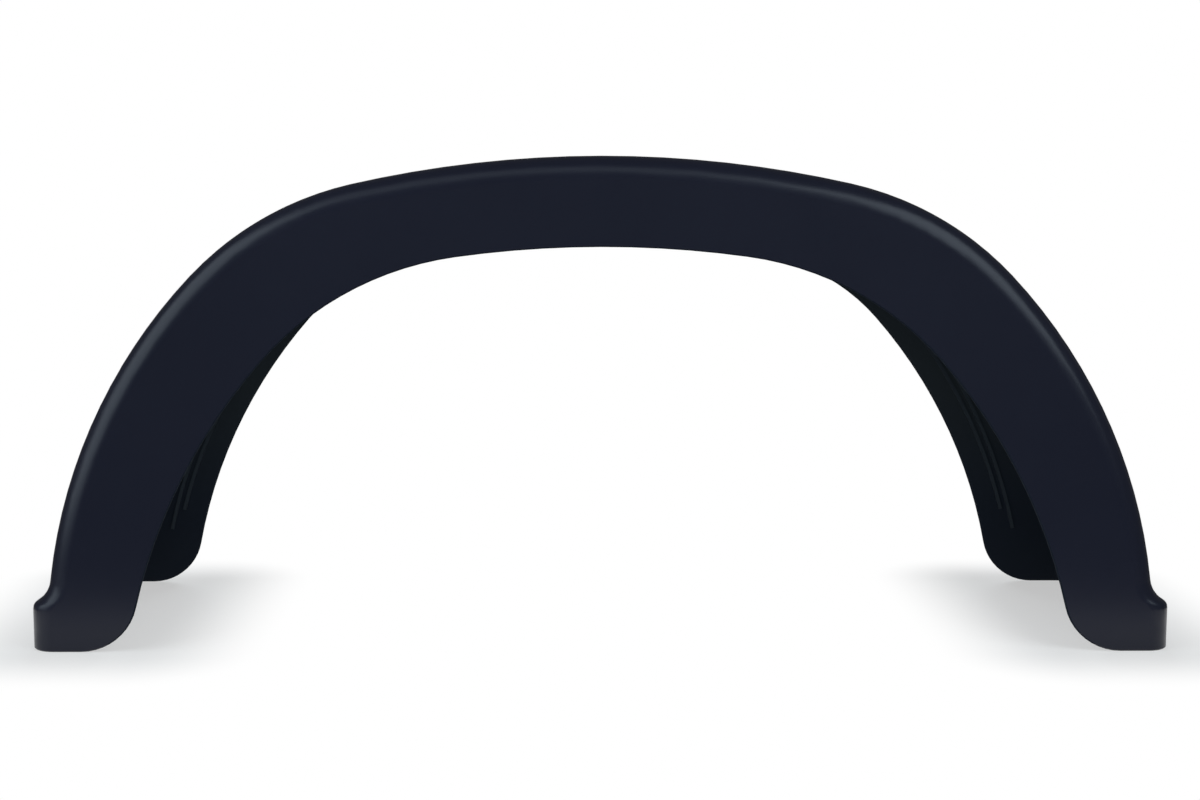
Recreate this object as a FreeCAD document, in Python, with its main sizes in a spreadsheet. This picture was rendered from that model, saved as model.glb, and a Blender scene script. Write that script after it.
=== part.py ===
"""Trailer mudguard: one moulded arch that covers a wheel from above and at both sides.

The tread is a chain of tangent arcs with a stepped lip at each foot. A skirt drops from it at either
side and is trimmed to a wheel mouth, squarer at the shoulders in the back skirt. X runs along the
trailer, Y across it and Z up, with the origin on the ground plane of the feet, under the middle of the
arch. One half is modelled and then mirrored. Millimetres and degrees.
"""
import FreeCAD, Part
import math
import os
import Sketcher

NODE = "mudguard_shell"
FRONT, BACK = "front", "back"

SIZES = {
    "overall_length": 760.0,
    "overall_width": 220.0,
    "crest_height": 326.7,
    "wall": 3.0,
    "corner_round": 16.0,
    "rim_bevel": 0.8,
    # tread outline, from the crest to the foot
    "crown_angle": 25.3,
    "shoulder_radius": 213.0,
    "shoulder_angle": 33.4,
    "leg_angle": 36.4,
    "lip_step": 12.1,
    "lip_round": 5.6,
    "lip_height": 27.0,
    "joggle_height": 18.8,
    # wheel mouths, from the crown to the foot
    "skirt_depth": 59.0,
    "front_crown_angle": 15.7,
    "front_shoulder_radius": 208.5,
    "front_shoulder_angle": 40.5,
    "front_leg_angle": 27.9,
    "back_crown_angle": 19.9,
    "back_shoulder_radius": 151.7,
    "back_shoulder_angle": 38.3,
    "back_leg_angle": 30.5,
    "foot_corner": 38.2,
    "foot_flat": 34.6,
    # ribs along the back mouth, on the inner face of that skirt
    "rib_setback": 16.4,
    "rib_pitch": 6.0,
    "rib_width": 2.6,
    "rib_depth": 1.2,
    "rib_leg_angle": 27.0,
    "rib_stagger_angle": 2.5,
}

START, END, CENTRE = range(1, 4)
X_AXIS, Z_AXIS, EXTERNAL = range(-1, -4, -1)
ORIGIN = (X_AXIS, START)
SNAP = 1e-4
LEG_DIP = "(Sizes.crown_angle / 2 + Sizes.shoulder_angle + Sizes.leg_angle) * 1 deg"


def make_sheet(doc):
    """Put every driving dimension in a cell of its own."""
    sheet = doc.addObject("Spreadsheet::Sheet", "Sizes")
    for row, (name, value) in enumerate(SIZES.items(), start=1):
        sheet.set(f"A{row}", name)
        sheet.set(f"B{row}", str(value))
        sheet.setAlias(f"B{row}", name)
    doc.recompute()
    return sheet


def point(x, z):
    """Point or direction in a sketch of the side view."""
    return FreeCAD.Vector(x, z, 0)


def heading(dip):
    """Direction from an arc's centre to the place where the arch dips by this angle."""
    return point(math.sin(dip), math.cos(dip))


def side_sketch(body, name):
    """Sketch in the X-Z plane along the middle of the part."""
    sketch = body.newObject("Sketcher::SketchObject", name)
    plane = next(item for item in body.Origin.OriginFeatures if item.Role == "XZ_Plane")
    sketch.AttachmentSupport = (plane, "")
    sketch.MapMode = "FlatFace"
    return sketch


def add_arc(sketch, centre, begin, finish):
    """Arc about a centre, anticlockwise from one point to another."""
    spokes = [end - centre for end in (begin, finish)]
    first, last = (math.atan2(spoke.y, spoke.x) for spoke in spokes)
    circle = Part.Circle(centre, FreeCAD.Vector(0, 0, 1), spokes[0].Length)
    return sketch.addGeometry(Part.ArcOfCircle(circle, first, last))


def add_line(sketch, begin, finish):
    return sketch.addGeometry(Part.LineSegment(begin, finish))


def tie(sketch, kind, *where):
    return sketch.addConstraint(Sketcher.Constraint(kind, *where))


def hold(sketch, name, expression, kind, *where):
    """Add a dimension that follows the sheet."""
    amount = sketch.evalExpression(expression).Value
    index = tie(sketch, kind, *where, math.radians(amount) if kind == "Angle" else amount)
    sketch.renameConstraint(index, name)
    sketch.setExpression(f"Constraints.{name}", expression)


def note_radius(sketch, name, arc):
    """Measure an arc's radius, so that other sketches can read it."""
    index = tie(sketch, "Radius", arc, sketch.Geometry[arc].Radius)
    sketch.setDriving(index, False)
    sketch.renameConstraint(index, name)


def dips_of(sheet, prefix):
    """Dips of an arch at its crest and at the lower ends of its crown, shoulder and leg."""
    arcs = ("crown", "shoulder", "leg")
    crown, shoulder, leg = (math.radians(sheet.get(f"{prefix}{arc}_angle")) for arc in arcs)
    return [0.0, crown / 2, crown / 2 + shoulder, crown / 2 + shoulder + leg]


class Arch:
    """Half of an arch: crown, shoulder and leg arcs, tangent to each other, down to a foot.

    The radii of the crown and the leg follow from the height, the angles, the shoulder and the foot.
    """

    def __init__(self, sheet, prefix, height, foot):
        shoulder = sheet.get(prefix + "shoulder_radius")
        self.prefix = prefix
        self.dips = dips_of(sheet, prefix)
        first, second, third = (heading(dip) for dip in self.dips[1:])
        run = foot.x - shoulder * (second.x - first.x)
        drop = height - foot.y - shoulder * (first.y - second.y)
        across = (first.x, third.x - second.x)
        down = (1 - first.y, second.y - third.y)
        scale = across[0] * down[1] - across[1] * down[0]
        crown = (run * down[1] - drop * across[1]) / scale
        leg = (drop * across[0] - run * down[0]) / scale
        self.radii = [crown, shoulder, leg]
        crown_centre = point(0, height - crown)
        shoulder_centre = crown_centre + first * (crown - shoulder)
        self.centres = [crown_centre, shoulder_centre, shoulder_centre + second * (shoulder - leg)]

    def place(self, arc, dip, offset=0.0):
        """Point of one arc at a dip, moved outward by an offset."""
        return self.centres[arc] + heading(dip) * (self.radii[arc] + offset)

    def draw(self, sketch, offset, offset_text, tag="", last_dip=None):
        """Add the arcs, moved outward by an offset, with the crown's middle on the Z axis."""
        dips = self.dips if last_dip is None else self.dips[:-1] + [last_dip]
        chain = []
        for number, centre in enumerate(self.centres):
            upper = self.place(number, dips[number], offset)
            lower = self.place(number, dips[number + 1], offset)
            chain.append(add_arc(sketch, centre, lower, upper))
        crown, shoulder, leg = chain
        tie(sketch, "Tangent", crown, START, shoulder, END)
        tie(sketch, "Tangent", shoulder, START, leg, END)
        tie(sketch, "PointOnObject", crown, CENTRE, Z_AXIS)
        tie(sketch, "PointOnObject", crown, END, Z_AXIS)
        size = "Sizes." + self.prefix
        radius = f"{size}shoulder_radius * 1 mm + {offset_text}"
        hold(sketch, tag + "shoulder_radius", radius, "Radius", shoulder)
        hold(sketch, tag + "crown_angle", f"{size}crown_angle / 2 * 1 deg", "Angle", crown)
        hold(sketch, tag + "shoulder_angle", f"{size}shoulder_angle * 1 deg", "Angle", shoulder)
        return chain


def half_form(doc, sheet, name, inset, below=None):
    """Solid half of the arch with its lip, an inset smaller on every side than the moulding's outside.

    The inset is a sheet expression. The foot stops at the ground, or runs below it by another one.
    """
    body = doc.addObject("PartDesign::Body", name)
    depth = body.evalExpression(inset).Value
    half = sheet.overall_length / 2
    foot = point(half - sheet.lip_step, sheet.lip_height + sheet.joggle_height)
    arch = Arch(sheet, "", sheet.crest_height, foot)

    outline = side_sketch(body, name + "_outline")
    crown, _, leg = arch.draw(outline, -depth, f"-1 * ({inset})")
    crest = arch.place(0, 0.0, -depth)
    ankle = arch.place(2, arch.dips[-1], -depth)
    floor = add_line(outline, ankle, point(0, ankle.y))
    axis = add_line(outline, point(0, ankle.y), crest)
    tie(outline, "Coincident", leg, START, floor, START)
    tie(outline, "Coincident", floor, END, axis, START)
    tie(outline, "Coincident", axis, END, crown, END)
    tie(outline, "Horizontal", floor)
    tie(outline, "PointOnObject", floor, END, Z_AXIS)
    ankle_x = f"(Sizes.overall_length / 2 - Sizes.lip_step) * 1 mm - ({inset}) * sin({LEG_DIP})"
    ankle_z = f"(Sizes.lip_height + Sizes.joggle_height) * 1 mm - ({inset}) * cos({LEG_DIP})"
    hold(outline, "height", f"Sizes.crest_height * 1 mm - ({inset})", "DistanceY", *ORIGIN, crown, END)
    hold(outline, "leg_angle", "Sizes.leg_angle * 1 deg", "Angle", leg)
    hold(outline, "ankle_x", ankle_x, "DistanceX", *ORIGIN, leg, START)
    hold(outline, "ankle_z", ankle_z, "DistanceY", *ORIGIN, leg, START)
    doc.recompute()

    block = body.newObject("PartDesign::Pad", name + "_block")
    block.Profile = outline
    block.SideType = "Symmetric"
    block.setExpression("Length", f"Sizes.overall_width * 1 mm - 2 * ({inset})")
    doc.recompute()

    rounds = body.newObject("PartDesign::Fillet", name + "_rounds")
    rounds.Base = (block, names_of("Edge", block.Shape.Edges, is_arc))
    rounds.setExpression("Radius", f"Sizes.corner_round * 1 mm - ({inset})")
    doc.recompute()

    # the foot's section moves out along the joggle, over the round and down the lip without turning
    outward = heading(arch.dips[-1])
    round_centre = point(half - sheet.lip_round, sheet.lip_height)
    reach = foot - round_centre
    bend = (reach.Length ** 2 - sheet.lip_round ** 2) / (2 * (sheet.lip_round - reach.dot(outward)))
    bend_centre = foot + outward * bend
    across = (round_centre - bend_centre) / (bend + sheet.lip_round)
    touch = bend_centre + across * (bend + depth)
    lip_top = point(half - depth, sheet.lip_height)
    lip_end = point(lip_top.x, 0 if below is None else -body.evalExpression(below).Value)
    path = side_sketch(body, name + "_lip_path")
    arcs = names_of("Edge", outline.Shape.Edges, is_arc)
    lowest = min(arcs, key=lambda edge: outline.Shape.getElement(edge).BoundBox.ZMin)
    path.addExternal(outline.Name, lowest)
    joggle = add_arc(path, bend_centre, ankle, touch)
    lip_round = add_arc(path, round_centre, lip_top, touch)
    lip = add_line(path, lip_top, lip_end)
    tie(path, "Tangent", joggle, START, EXTERNAL, START)
    tie(path, "Tangent", joggle, END, lip_round, END)
    tie(path, "Tangent", lip_round, START, lip, START)
    tie(path, "Vertical", lip)
    lip_x = f"Sizes.overall_length / 2 * 1 mm - ({inset})"
    hold(path, "half_length", lip_x, "DistanceX", *ORIGIN, lip, START)
    hold(path, "lip_height", "Sizes.lip_height * 1 mm", "DistanceY", *ORIGIN, lip, START)
    hold(path, "lip_round", f"Sizes.lip_round * 1 mm - ({inset})", "Radius", lip_round)
    if below is None:
        tie(path, "PointOnObject", lip, END, X_AXIS)
    else:
        hold(path, "below", below, "DistanceY", lip, END, *ORIGIN)
    doc.recompute()

    sweep = body.newObject("PartDesign::AdditivePipe", name + "_lip")
    sweep.Profile = (rounds, names_of("Face", rounds.Shape.Faces, is_level))
    sweep.Spine = (path, names_of("Edge", path.Shape.Edges))
    sweep.Mode = "Fixed"
    doc.recompute()
    return body


def names_of(kind, items, wanted=lambda item: True):
    """Numbered names of the edges or faces of a shape, of all or of those that pass a test."""
    return [f"{kind}{number}" for number, item in enumerate(items, start=1) if wanted(item)]


def is_arc(edge):
    return isinstance(edge.Curve, Part.Circle)


def is_level(face):
    return face.BoundBox.ZLength < SNAP


def mouth_arch(sheet, side):
    """Arcs of one mouth's edge and the corner that follows them at the foot."""
    toe = point(sheet.overall_length / 2 - sheet.foot_flat, 0)
    centre = toe + point(0, sheet.foot_corner)
    foot = centre - heading(dips_of(sheet, side + "_")[-1]) * sheet.foot_corner
    arch = Arch(sheet, side + "_", sheet.crest_height - sheet.skirt_depth, foot)
    return arch, foot, centre, toe


def mouth_form(doc, sheet, side):
    """Half of one wheel mouth, as the solid that trims its skirt."""
    body = doc.addObject("PartDesign::Body", side + "_mouth")
    arch, foot, centre, toe = mouth_arch(sheet, side)
    outline = side_sketch(body, side + "_mouth_outline")
    crown, _, leg = arch.draw(outline, 0.0, "0 mm")
    bottom = point(toe.x, -sheet.wall)
    corner = add_arc(outline, centre, foot, toe)
    drop = add_line(outline, toe, bottom)
    floor = add_line(outline, bottom, point(0, -sheet.wall))
    axis = add_line(outline, point(0, -sheet.wall), arch.place(0, 0.0))
    tie(outline, "Tangent", leg, START, corner, START)
    tie(outline, "Vertical", corner, CENTRE, corner, END)
    tie(outline, "Coincident", corner, END, drop, START)
    tie(outline, "Vertical", drop)
    tie(outline, "PointOnObject", drop, START, X_AXIS)
    tie(outline, "Coincident", drop, END, floor, START)
    tie(outline, "Horizontal", floor)
    tie(outline, "Coincident", floor, END, axis, START)
    tie(outline, "PointOnObject", axis, START, Z_AXIS)
    tie(outline, "Coincident", axis, END, crown, END)
    height = "(Sizes.crest_height - Sizes.skirt_depth) * 1 mm"
    toe_x = "(Sizes.overall_length / 2 - Sizes.foot_flat) * 1 mm"
    hold(outline, "height", height, "DistanceY", *ORIGIN, crown, END)
    hold(outline, "leg_angle", f"Sizes.{side}_leg_angle * 1 deg", "Angle", leg)
    hold(outline, "foot_corner", "Sizes.foot_corner * 1 mm", "Radius", corner)
    hold(outline, "toe", toe_x, "DistanceX", *ORIGIN, drop, START)
    hold(outline, "below", "Sizes.wall * 1 mm", "DistanceY", drop, END, *ORIGIN)
    note_radius(outline, "crown_radius", crown)
    note_radius(outline, "leg_radius", leg)
    doc.recompute()

    cutter = body.newObject("PartDesign::Pad", side + "_cutter")
    cutter.Profile = outline
    cutter.Reversed = side == BACK
    cutter.setExpression("Length", "(Sizes.overall_width / 2 + Sizes.wall) * 1 mm")
    doc.recompute()
    return body


def cut_ribs(doc, sheet, cavity):
    """Grooves in the cavity's back face, which become ribs that follow the mouth's edge."""
    arch = mouth_arch(sheet, BACK)[0]
    sketch = side_sketch(cavity, "rib_outlines")
    sketch.setExpression("AttachmentOffset.Base.z", "(Sizes.wall - Sizes.overall_width / 2) * 1 mm")
    for number in range(2):
        sweep = f"(Sizes.rib_leg_angle + {number} * Sizes.rib_stagger_angle) * 1 deg"
        last_dip = arch.dips[2] + math.radians(sketch.evalExpression(sweep).Value)
        sides = []
        for edge in range(2):
            tag = f"rib{number}_edge{edge}_"
            away = f"(Sizes.rib_setback + {number} * Sizes.rib_pitch + {edge} * Sizes.rib_width) * 1 mm"
            chain = arch.draw(sketch, sketch.evalExpression(away).Value, away, tag, last_dip)
            crown, _, leg = chain
            height = f"(Sizes.crest_height - Sizes.skirt_depth) * 1 mm + {away}"
            mouth = f"{BACK}_mouth_outline.Constraints."
            hold(sketch, tag + "height", height, "DistanceY", *ORIGIN, crown, END)
            hold(sketch, tag + "crown", f"{mouth}crown_radius + {away}", "Radius", crown)
            hold(sketch, tag + "leg", f"{mouth}leg_radius + {away}", "Radius", leg)
            hold(sketch, tag + "leg_angle", sweep, "Angle", leg)
            sides.append(chain)
        for arc_number, end in ((0, END), (2, START)):
            near, far = (chain[arc_number] for chain in sides)
            ends = [sketch.getPoint(arc, end) for arc in (near, far)]
            cap = add_line(sketch, *ends)
            tie(sketch, "Coincident", near, end, cap, START)
            tie(sketch, "Coincident", far, end, cap, END)
    doc.recompute()

    grooves = cavity.newObject("PartDesign::Pocket", "rib_grooves")
    grooves.Profile = sketch
    grooves.Reversed = True
    grooves.setExpression("Length", "Sizes.rib_depth * 1 mm")
    doc.recompute()


def rim_edges(shape, wall):
    """Edges along the trimmed rim: the mouth's edge, the foot corners and the ground edge."""

    def is_rim(face):
        on_ground = is_level(face) and abs(face.BoundBox.ZMin) < SNAP
        return on_ground or abs(face.BoundBox.YLength - wall) < SNAP

    def is_rim_edge(edge):
        owners = sum(any(edge.isSame(other) for other in face.Edges) for face in rim)
        at_middle = edge.BoundBox.XLength < SNAP and abs(edge.BoundBox.XMin) < SNAP
        return owners == 1 and not at_middle

    rim = [face for face in shape.Faces if is_rim(face)]
    return names_of("Edge", shape.Edges, is_rim_edge)


def make_shell(doc, sheet):
    """Hollow the outer form, trim it, bevel its rim and mirror it to the whole moulding."""
    shell = half_form(doc, sheet, NODE, "0 mm")
    cavity = half_form(doc, sheet, "cavity", "Sizes.wall * 1 mm", below="Sizes.wall * 1 mm")
    mouths = [mouth_form(doc, sheet, side) for side in (FRONT, BACK)]
    cut_ribs(doc, sheet, cavity)

    hollow = shell.newObject("PartDesign::Boolean", "hollow")
    hollow.Type = "Cut"
    hollow.setObjects([cavity, *mouths])
    doc.recompute()

    rim = shell.newObject("PartDesign::Chamfer", "rim_bevels")
    rim.Base = (hollow, rim_edges(hollow.Shape, sheet.wall))
    rim.setExpression("Size", "Sizes.rim_bevel * 1 mm")
    doc.recompute()

    whole = shell.newObject("PartDesign::Mirrored", "whole")
    whole.TransformMode = "Whole shape"
    plane = next(item for item in shell.Origin.OriginFeatures if item.Role == "YZ_Plane")
    whole.MirrorPlane = (plane, [""])
    shell.Tip = whole
    doc.recompute()
    return shell


def check(doc, part):
    """Stop if a feature failed, a sketch is loose or the shape isn't one sound solid."""
    for item in doc.Objects:
        if "Invalid" in item.State or "Error" in item.State:
            raise RuntimeError(f"{item.Name} failed: {item.State}")
        if item.isDerivedFrom("Sketcher::SketchObject") and not item.FullyConstrained:
            raise RuntimeError(f"{item.Name} is not fully constrained")
    shape = part.Shape
    if shape.isNull() or not shape.isValid() or len(shape.Solids) != 1:
        raise RuntimeError(f"{part.Label} is not one valid solid")


def main():
    doc = FreeCAD.newDocument("mudguard")
    part = make_shell(doc, make_sheet(doc))
    check(doc, part)
    os.makedirs("parts", exist_ok=True)
    part.Shape.exportStep(f"parts/{part.Label}.step")


main()
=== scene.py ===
"""Trailer mudguard: satin black moulding in a white studio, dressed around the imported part."""
import math
from typing import NamedTuple

import bpy
from bpy.props import FloatProperty, FloatVectorProperty, PointerProperty
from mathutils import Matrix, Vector


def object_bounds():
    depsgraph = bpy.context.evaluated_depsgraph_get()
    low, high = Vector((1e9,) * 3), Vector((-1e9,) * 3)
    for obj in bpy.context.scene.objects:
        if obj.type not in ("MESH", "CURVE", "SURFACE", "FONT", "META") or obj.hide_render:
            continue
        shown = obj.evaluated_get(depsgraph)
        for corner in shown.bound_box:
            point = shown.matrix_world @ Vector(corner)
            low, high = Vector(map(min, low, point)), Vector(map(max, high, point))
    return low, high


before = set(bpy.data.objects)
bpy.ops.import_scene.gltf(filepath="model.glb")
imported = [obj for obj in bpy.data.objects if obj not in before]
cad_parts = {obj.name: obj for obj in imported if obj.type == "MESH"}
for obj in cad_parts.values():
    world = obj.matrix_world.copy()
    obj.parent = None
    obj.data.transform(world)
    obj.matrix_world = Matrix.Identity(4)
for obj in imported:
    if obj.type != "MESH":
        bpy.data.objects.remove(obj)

bl_info = {
    "name": "Trailer Mudguard",
    "version": (1, 0, 0),
    "blender": (4, 5, 0),
    "location": "3D View > Sidebar > Mudguard",
    "description": "Satin plastic finish and studio for a moulded trailer mudguard",
    "category": "Object",
}

NODE = "mudguard_shell"
CAD_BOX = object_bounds()
CENTRE = (CAD_BOX[0] + CAD_BOX[1]) / 2

# Lengths of the moulding, in metres. The rim is the trimmed edge of the two side walls, and
# the ribs stand on the inner face of the back wall.
WALL = 0.003
RIM_DEPTH = 0.0028
RIM_START = CAD_BOX[1].y - RIM_DEPTH
RIB_DEPTH = 0.0012
RIB_CREST = CAD_BOX[1].y - WALL - RIB_DEPTH
# Heights over which the inner face is painted lighter high up: painted light, for the light it
# catches there.
PAINTED_LIGHT_SPAN = (0.04, 0.18)
FOOT_LENGTH = 0.07
FOOT_MIDDLE = CAD_BOX[1].x - FOOT_LENGTH / 2
JOIN_GAP = 0.000002

# A point inside the wheel space, from which the outer faces look away.
HUB = Vector((0, 0, CENTRE.z / 3))

# A face whose normal has less than this along Y looks straight to the front.
FRONTWARD = -0.98

FLOOR_GAP = 0.0002
BACKDROP_EDGE = (0.995, 0.9995)
SENSOR_WIDTH = 36
WHITE = (1, 1, 1, 1)


class Lamp(NamedTuple):
    """Softbox seen from the middle of the part, with angles in degrees and lengths in metres."""

    bearing: float
    height: float
    distance: float
    width: float
    depth: float
    mirrored: bool = True
    colour: tuple = (0.85, 1.0, 1.12)


LAMPS = {
    "left": Lamp(bearing=-64, height=22, distance=1.7, width=1.3, depth=1.55),
    "right": Lamp(bearing=47, height=31, distance=1.7, width=1.1, depth=1.2),
    "top": Lamp(bearing=-20, height=55, distance=1.7, width=1.9, depth=0.7),
    "front": Lamp(bearing=0, height=-2, distance=2.6, width=2.0, depth=1.2, mirrored=False),
    "back": Lamp(bearing=180, height=30, distance=2.0, width=1.8, depth=1.2, mirrored=False),
}


class PlasticFinish(bpy.types.PropertyGroup):
    """Colours and surface of the moulded plastic, with painted light high on the inner face and a
    painted highlight on the ribs' crests.
    """

    colour: FloatVectorProperty(
        name="Outside", description="Colour of the smooth outer face", subtype="COLOR",
        size=4, min=0, max=1, default=(0.0103, 0.0112, 0.0208, 1))
    inner_colour: FloatVectorProperty(
        name="Inside", description="Colour of the duller inner face, low down", subtype="COLOR",
        size=4, min=0, max=1, default=(0.0083, 0.0122, 0.0203, 1))
    # Painted light: the inner face is coloured lighter high up, for the light that reaches it
    # there.
    arch_painted_light_colour: FloatVectorProperty(
        name="Painted Light Under the Arch", description="Colour of the inner face high up, as painted light", subtype="COLOR",
        size=4, min=0, max=1, default=(0.0273, 0.0328, 0.0370, 1))
    # Painted highlight: the ribs' crests are coloured lighter, for the light they catch.
    rib_painted_highlight_colour: FloatVectorProperty(
        name="Ribs", description="Colour of the ribs' crests, as painted highlight", subtype="COLOR",
        size=4, min=0, max=1, default=(0.031, 0.038, 0.046, 1))
    mottle: FloatProperty(
        name="Mottle", description="How far the colour wanders up and down", subtype="FACTOR",
        min=0, max=1, default=0.1)
    roughness: FloatProperty(
        name="Outer Roughness", description="Mean roughness of the satin outer face",
        subtype="FACTOR", min=0, max=1, default=0.31)
    inner_roughness: FloatProperty(
        name="Inner Roughness", description="Mean roughness of the duller inner face",
        subtype="FACTOR", min=0, max=1, default=0.85)
    rim_roughness: FloatProperty(
        name="Rim Roughness", description="Mean roughness of the trimmed rim",
        subtype="FACTOR", min=0, max=1, default=1.0)
    gloss: FloatProperty(
        name="Gloss", description="Strength of the surface reflection", subtype="FACTOR",
        min=0, max=1, default=0.31)
    cloud_size: FloatProperty(
        name="Cloud Size", description="Width of the broad unevenness of colour and sheen",
        unit="LENGTH", default=0.11)
    cloud_roughness: FloatProperty(
        name="Cloud Roughness", description="How much the broad unevenness alters the roughness",
        subtype="FACTOR", min=0, max=1, default=0.08)
    smudge_size: FloatProperty(
        name="Smudge Size", description="Width of the handling smudges", unit="LENGTH",
        default=0.018)
    smudge_roughness: FloatProperty(
        name="Smudge Roughness", description="How much the smudges alter the roughness",
        subtype="FACTOR", min=0, max=1, default=0.06)
    ripple_size: FloatProperty(
        name="Ripple Size", description="Width of the faint moulding ripple", unit="LENGTH",
        default=0.03)
    ripple_depth: FloatProperty(
        name="Ripple Depth", description="Depth of the faint moulding ripple", unit="LENGTH",
        default=0.00002)
    grain_size: FloatProperty(
        name="Grain Size", description="Width of the fine moulded grain", unit="LENGTH",
        default=0.0009)
    grain_depth: FloatProperty(
        name="Grain Depth", description="Depth of the fine moulded grain", unit="LENGTH",
        default=0.000005)
    crisp_angle: FloatProperty(
        name="Crisp Angle", description="Turn between faces from which an edge is shaded as sharp",
        subtype="ANGLE", default=math.radians(35))


class Studio(bpy.types.PropertyGroup):
    """Floor, lamps and camera around the part."""

    floor_colour: FloatVectorProperty(
        name="Floor", description="Colour of the floor", subtype="COLOR",
        size=4, min=0, max=1, default=(0.93, 0.86, 0.8, 1))
    floor_size: FloatVectorProperty(
        name="Floor Size", description="Length and depth of the floor", unit="LENGTH",
        size=2, default=(1.0, 0.82))
    floor_setback: FloatProperty(
        name="Floor Setback", description="How far the floor's middle lies behind the part",
        unit="LENGTH", default=0.19)
    shadow: FloatProperty(
        name="Shadow", description="Share of the floor's own shading seen beside the feet",
        subtype="FACTOR", min=0, max=1, default=0.5)
    shadow_reach: FloatProperty(
        name="Shadow Reach", description="How far from the feet the floor's shading is seen",
        unit="LENGTH", default=0.09)
    ambient: FloatProperty(
        name="Room Light", description="Strength of the light from all round",
        min=0, default=0.08)
    left_light: FloatProperty(
        name="Left Light", description="Brightness of the softbox on the left",
        min=0, default=1.85)
    right_light: FloatProperty(
        name="Right Light", description="Brightness of the softbox on the right",
        min=0, default=2.35)
    top_light: FloatProperty(
        name="Top Light", description="Brightness of the strip above the camera",
        min=0, default=0.7)
    front_light: FloatProperty(
        name="Front Light", description="Brightness of the fill below the camera",
        min=0, default=3.3)
    back_light: FloatProperty(
        name="Back Light", description="Brightness of the softbox behind the part",
        min=0, default=3.0)
    lens: FloatProperty(
        name="Lens", description="Focal length of the camera", unit="CAMERA", default=52.0)
    camera_place: FloatVectorProperty(
        name="Camera", description="Place of the camera", subtype="TRANSLATION",
        size=3, default=(-0.0350, -1.2350, 0.2950))
    camera_dip: FloatProperty(
        name="Camera Dip", description="How far the camera looks down", subtype="ANGLE",
        default=math.radians(6.43))
    camera_roll: FloatProperty(
        name="Camera Roll", description="How far the camera leans to its right", subtype="ANGLE",
        default=math.radians(0.067))
    camera_shift: FloatProperty(
        name="Camera Shift", description="Sideways shift of the picture", default=0.0438)


class Value:
    """A socket in a node tree, so that shader maths reads as ordinary maths."""

    def __init__(self, tree, socket):
        self.tree = tree
        self.socket = socket

    def node(self, kind, settings=None, **inputs):
        """Add a node with its settings and its inputs.

        An input is given by its name with _ for each space, or as _6 for the input of that number.
        """
        made = self.tree.nodes.new(kind)
        for name, value in (settings or {}).items():
            setattr(made, name, value)
        for name, value in inputs.items():
            socket = made.inputs[int(name[1:]) if name[0] == "_" else name.replace("_", " ")]
            if isinstance(value, Value):
                self.tree.links.new(value.socket, socket)
            else:
                socket.default_value = value
        return {output.identifier: Value(self.tree, output) for output in made.outputs}

    def maths(self, operation, *values):
        """Add a Math node on values and numbers."""
        inputs = {f"_{index}": value for index, value in enumerate(values)}
        return self.node("ShaderNodeMath", {"operation": operation}, **inputs)["Value"]

    def __add__(self, other):
        return self.maths("ADD", self, other)

    __radd__ = __add__

    def __sub__(self, other):
        return self.maths("SUBTRACT", self, other)

    def __rsub__(self, other):
        return self.maths("SUBTRACT", other, self)

    def __mul__(self, other):
        return self.maths("MULTIPLY", self, other)

    __rmul__ = __mul__

    def __gt__(self, other):
        return self.maths("GREATER_THAN", self, other)

    def __lt__(self, other):
        return self.maths("LESS_THAN", self, other)

    def __abs__(self):
        return self.maths("ABSOLUTE", self)


def new_tree(owner):
    """Empty node tree of a material or world, as the value that starts its nodes."""
    owner.use_nodes = True
    owner.node_tree.nodes.clear()
    return Value(owner.node_tree, None)


def mix_colours(tree, share, first, second, blend="MIX"):
    """Blend two colours, with the second one's share."""
    settings = {"data_type": "RGBA", "blend_type": blend}
    return tree.node("ShaderNodeMix", settings, _0=share, _6=first, _7=second)["Result_Color"]


def vector_maths(tree, operation, *vectors):
    """Add a Vector Math node."""
    inputs = {f"_{index}": vector for index, vector in enumerate(vectors)}
    return tree.node("ShaderNodeVectorMath", {"operation": operation}, **inputs)


def split(tree, vector):
    """X, Y and Z of a vector, by name."""
    return tree.node("ShaderNodeSeparateXYZ", None, Vector=vector)


def smooth_step(tree, value, low, high):
    """Rise from 0 to 1 between two values, with soft ends."""
    step = tree.node("ShaderNodeMapRange", {"interpolation_type": "SMOOTHSTEP"}, Value=value,
                     From_Min=low, From_Max=high)
    return step["Result"]


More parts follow.
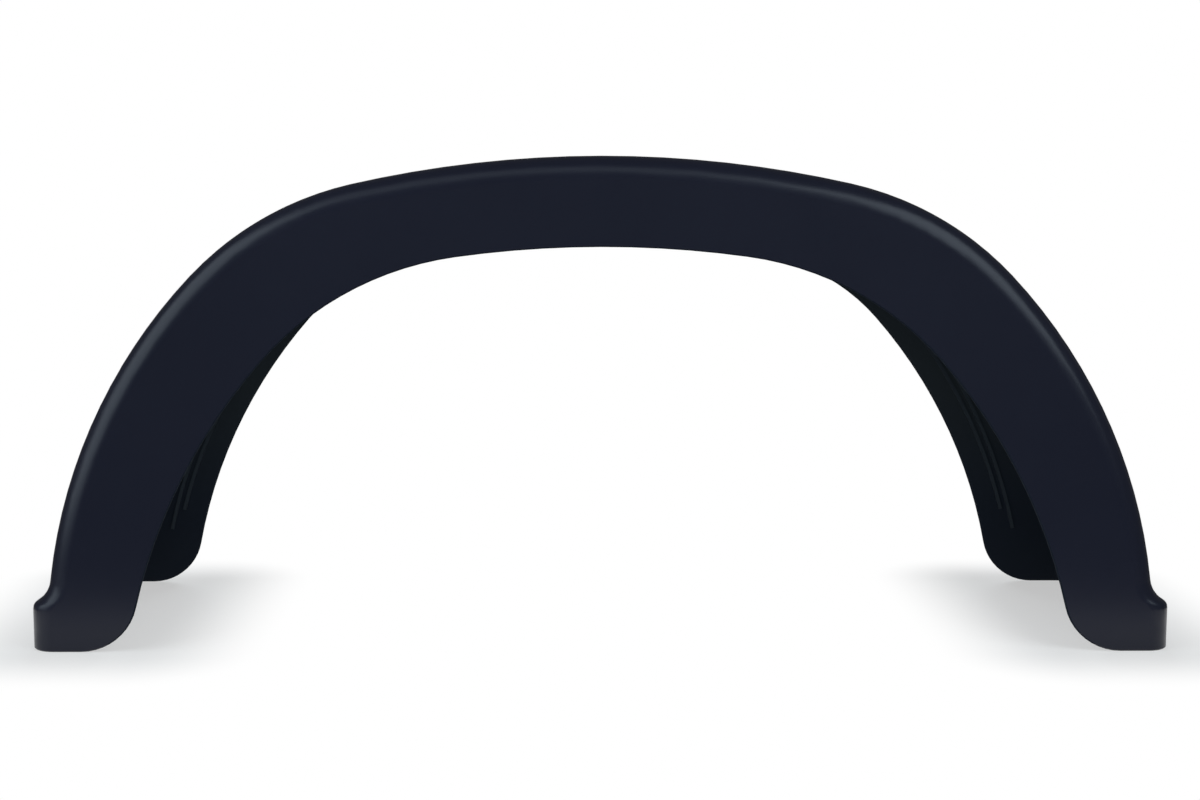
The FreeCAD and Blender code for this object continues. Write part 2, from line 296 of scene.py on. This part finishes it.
def plastic_material(finish):
    """Satin moulded plastic, smooth outside and duller inside, with painted light high on the
    inner face and a painted highlight on the ribs' crests.
    """
    material = bpy.data.materials.new("satin_black_plastic")
    tree = new_tree(material)
    coordinates = tree.node("ShaderNodeTexCoord")
    place, facing = coordinates["Object"], coordinates["Normal"]

    def noise(size, detail):
        made = tree.node("ShaderNodeTexNoise", None, Vector=place, Scale=1 / size, Detail=detail)
        return made["Fac"]

    outward = vector_maths(tree, "SUBTRACT", place, HUB)["Vector"]
    inside = vector_maths(tree, "DOT_PRODUCT", facing, outward)["Value"] < 0.0
    position = split(tree, place)
    across, height = position["Y"], position["Z"]
    rim = inside * (abs(across) > RIM_START)
    frontward = split(tree, facing)["Y"] < FRONTWARD
    # Mask of the ribs' crests, which carry a painted highlight.
    painted_crest_highlight = frontward * (abs(across - RIB_CREST) < RIB_DEPTH / 4)

    cloud = noise(finish.cloud_size, 3.0)
    smudge = noise(finish.smudge_size, 4.0)
    # Painted light: the inner face is coloured lighter high up, away from the rim.
    high = smooth_step(tree, height, *PAINTED_LIGHT_SPAN) * (1 - rim)
    inner = mix_colours(tree, high, finish.inner_colour, finish.arch_painted_light_colour)
    # Painted highlight on the ribs' crests.
    inner = mix_colours(tree, painted_crest_highlight, inner, finish.rib_painted_highlight_colour)
    shade = mix_colours(tree, inside, finish.colour, inner)
    dark, pale = ((1 + change,) * 3 + (1,) for change in (-finish.mottle, finish.mottle))
    shade = mix_colours(tree, 1.0, shade, mix_colours(tree, cloud, dark, pale), "MULTIPLY")

    rough = finish.roughness + inside * (finish.inner_roughness - finish.roughness)
    rough = rough + rim * (finish.rim_roughness - finish.inner_roughness)
    rough = rough + (cloud - 0.5) * finish.cloud_roughness
    rough = rough + (smudge - 0.5) * finish.smudge_roughness
    ripple = tree.node("ShaderNodeBump", None, Strength=1.0, Distance=finish.ripple_depth,
                       Height=noise(finish.ripple_size, 1.0))
    grain = tree.node("ShaderNodeBump", None, Strength=1.0, Distance=finish.grain_depth,
                      Height=noise(finish.grain_size, 2.0), Normal=ripple["Normal"])
    shader = tree.node("ShaderNodeBsdfPrincipled", None, Base_Color=shade, Roughness=rough,
                       Normal=grain["Normal"], Specular_IOR_Level=finish.gloss)
    tree.node("ShaderNodeOutputMaterial", None, Surface=shader["BSDF"])
    return material


def floor_material(studio):
    """Pale floor that runs out to white, with the part's shadow kept beside its feet."""
    material = bpy.data.materials.new("studio_floor")
    tree = new_tree(material)
    place = split(tree, tree.node("ShaderNodeTexCoord")["Object"])
    foot_side = abs(abs(place["X"]) - FOOT_MIDDLE) - FOOT_LENGTH / 2
    foot_end = abs(place["Y"]) - CAD_BOX[1].y
    beside, beyond = (tree.maths("MAXIMUM", gap, 0.0) for gap in (foot_side, foot_end))
    away = tree.maths("SQRT", beside * beside + beyond * beyond)
    white = 1 - studio.shadow * (1 - smooth_step(tree, away, 0.0, studio.shadow_reach))
    lit = tree.node("ShaderNodeBsdfDiffuse", None, Color=studio.floor_colour)
    glow = tree.node("ShaderNodeEmission", None, Color=WHITE, Strength=1.0)
    path = tree.node("ShaderNodeLightPath")
    mirrored = tree.maths("MAXIMUM", path["Is Glossy Ray"], path["Is Transmission Ray"])
    seen = tree.maths("MAXIMUM", path["Is Camera Ray"], mirrored)
    mixed = tree.node("ShaderNodeMixShader", None, _0=seen * white, _1=lit["BSDF"],
                      _2=glow["Emission"])
    tree.node("ShaderNodeOutputMaterial", None, Surface=mixed["Shader"])
    return material


def white_world(studio):
    """White behind the part and dim all round it."""
    world = bpy.data.worlds.new("studio_world")
    tree = new_tree(world)
    heading = split(tree, tree.node("ShaderNodeTexCoord")["Generated"])
    behind = smooth_step(tree, heading["Y"], *BACKDROP_EDGE)
    path = tree.node("ShaderNodeLightPath")
    mirrored = tree.maths("MAXIMUM", path["Is Glossy Ray"], path["Is Transmission Ray"])
    seen = tree.maths("MAXIMUM", path["Is Camera Ray"], mirrored * behind)
    room = tree.node("ShaderNodeBackground", None, Color=WHITE, Strength=studio.ambient)
    white = tree.node("ShaderNodeBackground", None, Color=WHITE, Strength=1.0)
    mixed = tree.node("ShaderNodeMixShader", None, _0=seen, _1=room["Background"],
                      _2=white["Background"])
    tree.node("ShaderNodeOutputWorld", None, Surface=mixed["Shader"])
    return world


class MUDGUARD_OT_shell(bpy.types.Operator):
    """Give the moulded shell its satin plastic"""

    bl_idname = "mudguard.shell"
    bl_label = "Moulded Shell"

    def execute(self, context):
        finish = context.scene.mudguard_plastic
        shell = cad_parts[NODE]
        shell.data.materials.clear()
        shell.data.materials.append(plastic_material(finish))
        self.even_shading(shell, finish)
        return {"FINISHED"}

    def even_shading(self, shell, finish):
        """Shade the faces of the solid as one skin, with its edges left crisp."""
        joined = shell.modifiers.new("Joined Faces", "WELD")
        joined.merge_threshold = JOIN_GAP
        crisp = shell.modifiers.new("Crisp Edges", "EDGE_SPLIT")
        crisp.use_edge_sharp = False
        crisp.split_angle = finish.crisp_angle
        shell.modifiers.new("Even Shading", "WEIGHTED_NORMAL")


class MUDGUARD_OT_stage(bpy.types.Operator):
    """Build the floor, the room, the lamps and the camera"""

    bl_idname = "mudguard.stage"
    bl_label = "Studio"

    def execute(self, context):
        studio = context.scene.mudguard_studio
        self.add_floor(context, studio)
        context.scene.world = white_world(studio)
        for name, lamp in LAMPS.items():
            self.add_lamp(context, name, lamp, getattr(studio, f"{name}_light"))
        self.add_camera(context, studio)
        context.scene.view_settings.view_transform = "Standard"
        return {"FINISHED"}

    def add_floor(self, context, studio):
        place = (0, studio.floor_setback, CAD_BOX[0].z - FLOOR_GAP)
        bpy.ops.mesh.primitive_plane_add(size=1, location=place)
        floor = context.object
        floor.name = "studio_floor"
        floor.scale = (*studio.floor_size, 1)
        bpy.ops.object.transform_apply(location=True, scale=True)
        floor.data.materials.append(floor_material(studio))
        # The floor throws no light back on to the part.
        floor.visible_diffuse = False

    def add_lamp(self, context, name, lamp, brightness):
        light = bpy.data.lights.new(f"{name}_light", "AREA")
        light.shape = "RECTANGLE"
        light.size, light.size_y = lamp.width, lamp.depth
        light.color = lamp.colour
        # The power at which a softbox of this size has the brightness asked for.
        light.energy = brightness * math.pi * lamp.width * lamp.depth
        box = bpy.data.objects.new(light.name, light)
        context.scene.collection.objects.link(box)
        turn, rise = math.radians(lamp.bearing), math.radians(lamp.height)
        level = math.cos(rise)
        away = Vector((math.sin(turn) * level, -math.cos(turn) * level, math.sin(rise)))
        box.location = CENTRE + away * lamp.distance
        box.rotation_euler = away.to_track_quat("Z", "Y").to_euler()
        box.visible_camera = False
        box.visible_glossy = lamp.mirrored

    def add_camera(self, context, studio):
        lens = bpy.data.cameras.new("photo_camera")
        lens.lens = studio.lens
        lens.sensor_width = SENSOR_WIDTH
        lens.shift_x = studio.camera_shift
        camera = bpy.data.objects.new("photo_camera", lens)
        camera.location = studio.camera_place
        camera.rotation_euler = (math.pi / 2 - studio.camera_dip, studio.camera_roll, 0)
        context.scene.collection.objects.link(camera)
        context.scene.camera = camera


class MUDGUARD_PT_panel(bpy.types.Panel):
    """Sizes, colours and steps of the mudguard"""

    bl_label = "Trailer Mudguard"
    bl_idname = "MUDGUARD_PT_panel"
    bl_space_type = "VIEW_3D"
    bl_region_type = "UI"
    bl_category = "Mudguard"

    def draw(self, context):
        for group in (context.scene.mudguard_plastic, context.scene.mudguard_studio):
            box = self.layout.box()
            for name in group.__annotations__:
                box.prop(group, name)
        for step in (MUDGUARD_OT_shell, MUDGUARD_OT_stage):
            self.layout.operator(step.bl_idname)


CLASSES = (PlasticFinish, Studio, MUDGUARD_OT_shell, MUDGUARD_OT_stage, MUDGUARD_PT_panel)


def register():
    for item in CLASSES:
        bpy.utils.register_class(item)
    bpy.types.Scene.mudguard_plastic = PointerProperty(type=PlasticFinish)
    bpy.types.Scene.mudguard_studio = PointerProperty(type=Studio)


def unregister():
    del bpy.types.Scene.mudguard_studio
    del bpy.types.Scene.mudguard_plastic
    for item in reversed(CLASSES):
        bpy.utils.unregister_class(item)


def main():
    register()
    bpy.ops.mudguard.shell()
    bpy.ops.mudguard.stage()


if __name__ == "__main__":
    main()
